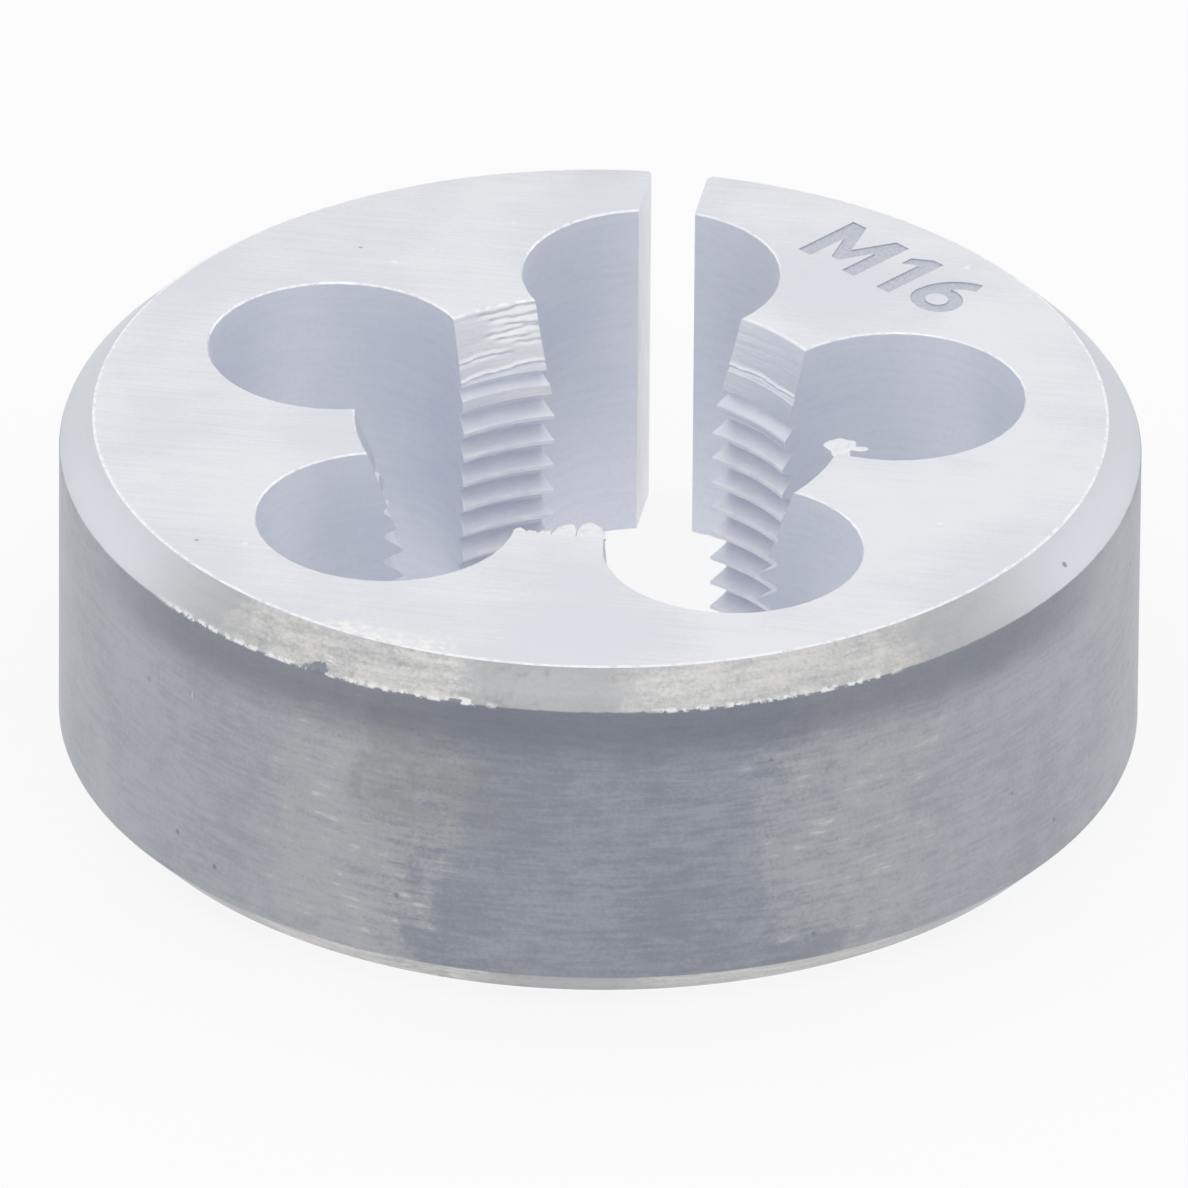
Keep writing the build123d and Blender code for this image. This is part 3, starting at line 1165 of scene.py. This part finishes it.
def lead_cone():
    """Chatter round the cone blends two greys. One land is duller, and one has smears."""
    f = Finish("lead_cone")
    chatter = f.noise(1.0, by=(0.5, 0.5, 5.5), detail=3.0, rough=0.6)
    clouds = f.noise(0.5)
    grain = f.noise(6.0, rough=0.6, seed=1)
    dull = f.ramp(0.4 * chatter + 0.3 * clouds + 0.3 * grain, 0.38, 0.62)
    colour = f.mix(LEAD_PALE, LEAD_DULL, 0.3 * dull + 0.45 * f.facing(*DULL_LEAD))
    smeared = f.ramp(f.noise(1.0, by=(0.6, 0.6, 3.5), detail=3.0, seed=6), 0.50, 0.62)
    colour = f.mix(colour, SPECK, f.facing(*TORN_LEAD) * smeared * 0.45)
    return f.finish(colour, 0.34 + 0.12 * chatter, chatter + 0.4 * grain, 0.012)


# %% [markdown]
# ## Cut and broken surfaces
# The slitting wheel leaves its walls pale with fine lines down the cut. The broken edges
# are painted bright, a painted highlight along each corner, the torn burrs are fresh metal,
# and the etched mark is a flat, darker grey. One recipe serves them all: a noise blends two
# greys and makes the bump.

# %% Slit, edges, mark and burrs
LINES = {"scale": 1.0, "by": (1.0, 6.0, 0.6), "rough": 0.6}
GRIT = {"scale": 3.0, "detail": 3.0, "rough": 0.6}
BITE = {"scale": 9.0, "detail": 3.0, "rough": 0.7}
RIDGES = {"scale": 1.0, "by": (3.0, 3.0, 1.0), "detail": 3.0, "rough": 0.6}
SLIT_GREYS = (0.82, 0.83, 0.855), (0.763, 0.777, 0.816)
# The broken edges' pale grey is a painted highlight.
EDGE_HIGHLIGHT_GREYS = (0.90, 0.91, 0.935), GROUND_DULL
MARK_GREYS = (0.61, 0.64, 0.70), (0.545, 0.575, 0.64)
BURR_GREYS = (0.83, 0.84, 0.86), GROUND_DULL
PLAIN = [
    # name, greys, noise and where it blends them, roughness and the noise's share, bump in mm
    ("slit_wall", SLIT_GREYS, LINES, (0.40, 0.65), (0.38, 0.12), 0.008),
    # The broken edges are painted bright as a painted highlight.
    ("broken_edge_highlight", EDGE_HIGHLIGHT_GREYS, GRIT, (0.45, 0.70), (0.30, 0.20), 0.010),
    ("etched_mark", MARK_GREYS, BITE, (0.40, 0.62), (0.58, 0.10), 0.012),
    ("torn_burr", BURR_GREYS, RIDGES, (0.50, 0.72), (0.34, 0.20), 0.012),
]


def plain(name, greys, pattern, span, roughness, depth):
    """A finish made of one noise."""
    f = Finish(name)
    grain = f.noise(**pattern)
    colour = f.mix(*greys, f.ramp(grain, *span))
    return f.finish(colour, roughness[0] + roughness[1] * grain, grain, depth)


recipes = (ground_face, turned_rim, drilled_hole, tapped_land, lead_cone)
finishes = [recipe() for recipe in recipes] + [plain(*row) for row in PLAIN]
for finish in finishes[:-1]:
    die_mesh.materials.append(finish)
for piece in (curl, flakes):
    piece.data.materials.append(finishes[-1])

# %% [markdown]
# ## The camera
# From well back and through a very long lens, the circles of something this small look like
# clean ellipses. An orthographic camera comes close, but a lens keeps the slight narrowing
# towards the back. It looks down on the marked face, a little from the right.

# %% Camera
VIEW_AZIMUTH = math.radians(9.6)
VIEW_ELEVATION = math.radians(29.35)
VIEW_ROLL = math.radians(0.475)
VIEW_DISTANCE = 74.4 * RADIUS
FRAME = 1188
PIXELS_PER_RADIUS = 541.5
FACE_CENTRE = (600.6, 415.0)
SENSOR = 36.0
NEAREST, FARTHEST = 0.1, 20


def place_camera():
    """A long lens that looks down on the marked face. The face's centre lands on the
    FACE_CENTRE pixel: the axis is turned from it by the offset over the focal length."""
    focal = PIXELS_PER_RADIUS * VIEW_DISTANCE / RADIUS
    tilt = Matrix.Rotation(math.pi / 2 - VIEW_ELEVATION, 3, "X")
    view = Matrix.Rotation(VIEW_AZIMUTH, 3, "Z") @ tilt @ Matrix.Rotation(VIEW_ROLL, 3, "Z")
    right, up, back = view.col
    off_right = (FACE_CENTRE[0] - FRAME / 2) / focal
    off_up = (FRAME / 2 - FACE_CENTRE[1]) / focal
    aim = (-back - right * off_right - up * off_up).normalized()
    right = (right - aim * right.dot(aim)).normalized()
    turn = Matrix((right, right.cross(aim), -aim)).transposed().to_4x4()
    data = bpy.data.cameras.new("camera")
    data.sensor_width = SENSOR
    data.lens = focal * SENSOR / FRAME
    data.clip_start, data.clip_end = NEAREST, FARTHEST
    camera = bpy.data.objects.new("camera", data)
    bpy.context.collection.objects.link(camera)
    place = Vector((0, 0, THICKNESS)) + back * VIEW_DISTANCE
    camera.matrix_world = Matrix.Translation(place) @ turn
    bpy.context.scene.camera = camera
    print("lens", round(data.lens), "mm at", round(VIEW_DISTANCE, 2), "m")


place_camera()

# %% [markdown]
# ## Floor and light
# The die lies on a pale sweep in a bright tent. Polished steel shows what is around it, so
# the tent is white to rays from the camera or off metal, and so is most of the floor, with
# enough of its own shading left for a soft shadow. A picture of a studio would do as well,
# but a tent and three lamps are easier to steer.

# %% Floor
SHADOW_SHARE = 0.16
FLOOR_SIZE = 6
FLOOR_ROUGHNESS = 0.9
FLOOR_GAP = 0.02 * MM


def make_floor():
    """A plane whose shading is mixed with plain white for the rays that are seen."""
    bpy.ops.mesh.primitive_plane_add(size=FLOOR_SIZE, location=(0, 0, -FLOOR_GAP))
    floor = bpy.context.object
    floor.name = "floor"
    f = Finish("floor_sweep", metal=0.0)
    f.shader.inputs["Base Color"].default_value = (1, 1, 1, 1)
    f.shader.inputs["Roughness"].default_value = FLOOR_ROUGHNESS
    white = f.node("ShaderNodeEmission", {}, {"Strength": 1.0})
    share = f.seen_rays() * (1 - SHADOW_SHARE)
    own = Wire(f, f.shader.outputs[0])
    both = f.node("ShaderNodeMixShader", {}, {0: share, 1: own, 2: white})
    f.link(both, f.tree.nodes["Material Output"].inputs["Surface"])
    floor.data.materials.append(f.material)


# %% Tent and lamps
TENT_LEVEL = 0.80
LAMP_DISTANCE = 0.60
LAMP_SIZE = 0.40
LAMPS = [
    # name, azimuth and elevation in degrees, radiance as a share of the tent's white
    ("key", -88, 62, 0.22),
    ("left", 160, 14, 0.20),
    ("right", 40, 14, 0.20),
]


def make_tent():
    """World light: white to seen rays, and at TENT_LEVEL to all others."""
    world = bpy.data.worlds.new("tent")
    bpy.context.scene.world = world
    world.use_nodes = True
    tent = Nodes(world.node_tree)
    sky = tent.tree.nodes["Background"]
    sky.inputs["Color"].default_value = (1, 1, 1, 1)
    tent.link(tent.seen_rays() * (1 - TENT_LEVEL) + TENT_LEVEL, sky.inputs["Strength"])


def add_lamp(name, azimuth, elevation, level):
    """A square lamp aimed at the die, whose radiance is level times the tent's white."""
    data = bpy.data.lights.new(name, "AREA")
    data.size = LAMP_SIZE
    data.energy = level * math.pi * LAMP_SIZE**2
    lamp = bpy.data.objects.new(name, data)
    bpy.context.collection.objects.link(lamp)
    a, e = math.radians(azimuth), math.radians(elevation)
    way = Vector((math.cos(a) * math.cos(e), math.sin(a) * math.cos(e), math.sin(e)))
    lamp.location = LAMP_DISTANCE * way
    lamp.rotation_euler = lamp.location.to_track_quat("Z", "Y").to_euler()


bpy.context.scene.view_settings.view_transform = "Standard"
make_floor()
make_tent()
for row in LAMPS:
    add_lamp(*row)
print("floor", FLOOR_SIZE, "m wide, tent at", TENT_LEVEL, "with", len(LAMPS), "lamps")
